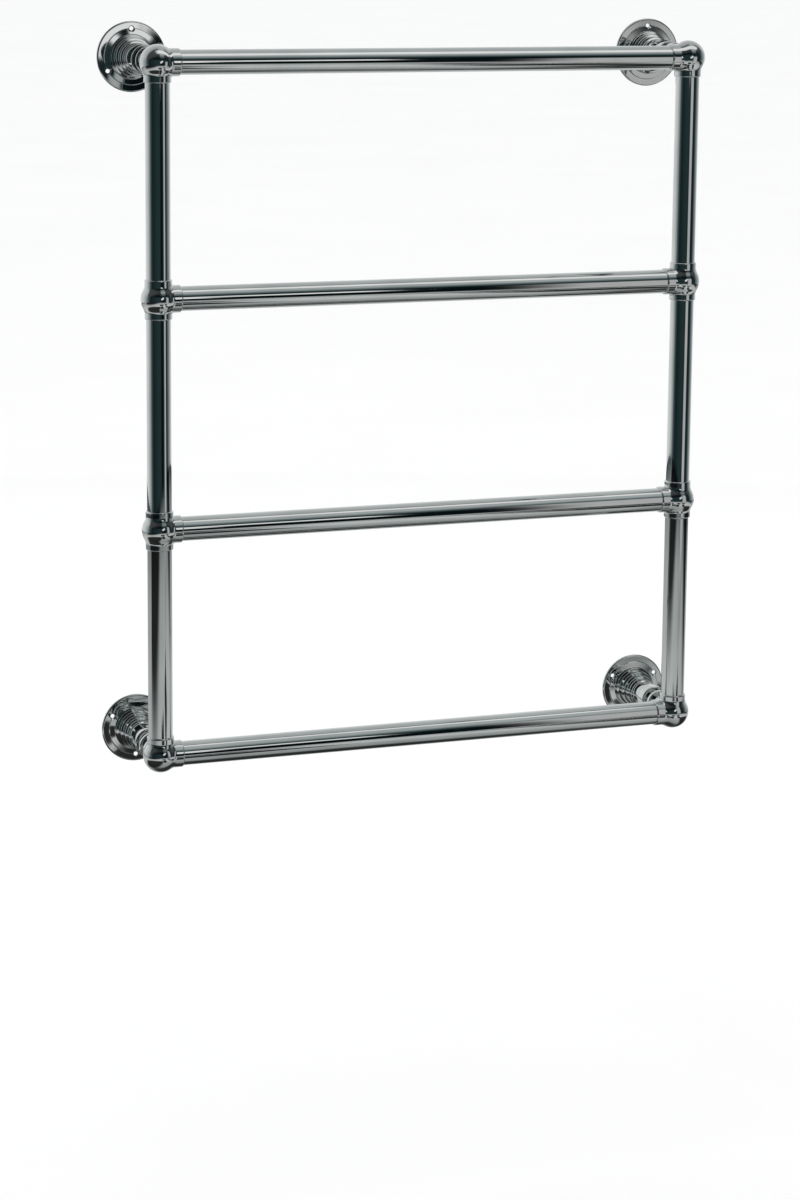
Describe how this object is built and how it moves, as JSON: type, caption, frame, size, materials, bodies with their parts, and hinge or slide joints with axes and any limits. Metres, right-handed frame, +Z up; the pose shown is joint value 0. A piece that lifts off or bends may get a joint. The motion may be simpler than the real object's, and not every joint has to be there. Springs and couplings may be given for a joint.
{
  "type": "towel warmer rack",
  "caption": "Wall-hung ladder of round chromed rails and uprights in ball fittings, stood off the wall on stepped round flanges with union nuts.",
  "frame": {"origin": "on the wall plane, midway between the four wall flanges", "axes": "+X along the rails to the right as seen from the room, +Y into the wall, +Z up"},
  "size_m": [0.738, 0.1455, 0.893],
  "materials": {
    "chrome": "polished plate on brass",
    "brass": "machined",
    "fibre": "pressed fibre",
    "seat_rubber": "matt"
  },
  "bodies": {
    "rack": {"top_rail": "chrome", "upper_middle_rail": "chrome", "lower_middle_rail": "chrome", "bottom_rail": "chrome", "top_left_upright": "chrome", "middle_left_upright": "chrome", "bottom_left_upright": "chrome", "top_right_upright": "chrome", "middle_right_upright": "chrome", "bottom_right_upright": "chrome", "top_left_ball_elbow": "chrome", "bottom_left_ball_elbow": "chrome", "upper_left_ball_tee": "chrome", "lower_left_ball_tee": "chrome", "top_right_ball_elbow": "chrome", "bottom_right_ball_elbow": "chrome", "upper_right_ball_tee": "chrome", "lower_right_ball_tee": "chrome", "top_left_wall_flange": "chrome", "top_left_stay_tail": "chrome", "top_left_union_washer": "fibre", "top_right_wall_flange": "chrome", "top_right_stay_tail": "chrome", "top_right_union_washer": "fibre", "bottom_left_wall_flange": "chrome", "bottom_left_stay_tail": "chrome", "bottom_left_union_washer": "fibre", "bottom_right_wall_flange": "chrome", "bottom_right_stay_tail": "chrome", "bottom_right_union_washer": "fibre", "vent_boss": "chrome", "vent_plug": "chrome"},
    "top_left_union_nut": {"top_left_union_nut": "chrome"},
    "top_right_union_nut": {"top_right_union_nut": "chrome"},
    "bottom_left_union_nut": {"bottom_left_union_nut": "chrome"},
    "bottom_right_union_nut": {"bottom_right_union_nut": "chrome"},
    "vent_seat_washer": {"vent_seat_washer": "seat_rubber"},
    "vent_spindle": {"vent_spindle": "brass"}
  },
  "joints": [
    {"name": "top_left_nut_turn", "type": "hinge", "parent": "rack", "child": "top_left_union_nut", "pos_m": [-0.3275, -0.064, 0.405], "axis": [0, -1, 0], "continuous": true},
    {"name": "top_right_nut_turn", "type": "hinge", "parent": "rack", "child": "top_right_union_nut", "pos_m": [0.3275, -0.064, 0.405], "axis": [0, -1, 0], "continuous": true},
    {"name": "bottom_left_nut_turn", "type": "hinge", "parent": "rack", "child": "bottom_left_union_nut", "pos_m": [-0.3275, -0.064, -0.405], "axis": [0, -1, 0], "continuous": true},
    {"name": "bottom_right_nut_turn", "type": "hinge", "parent": "rack", "child": "bottom_right_union_nut", "pos_m": [0.3275, -0.064, -0.405], "axis": [0, -1, 0], "continuous": true},
    {"name": "vent_lift", "type": "slide", "parent": "rack", "child": "vent_seat_washer", "axis": [0, 1, 0], "range_m": [0, 0.0008]},
    {"name": "vent_turn", "type": "hinge", "parent": "vent_seat_washer", "child": "vent_spindle", "pos_m": [0.2575, -0.0967, 0.405], "axis": [0, 1, 0], "range_deg": [0, 360]}
  ],
  "couplings": [
    {"joint": "vent_turn", "follows": "vent_lift", "rad_per_m": 7853.9}
  ]
}
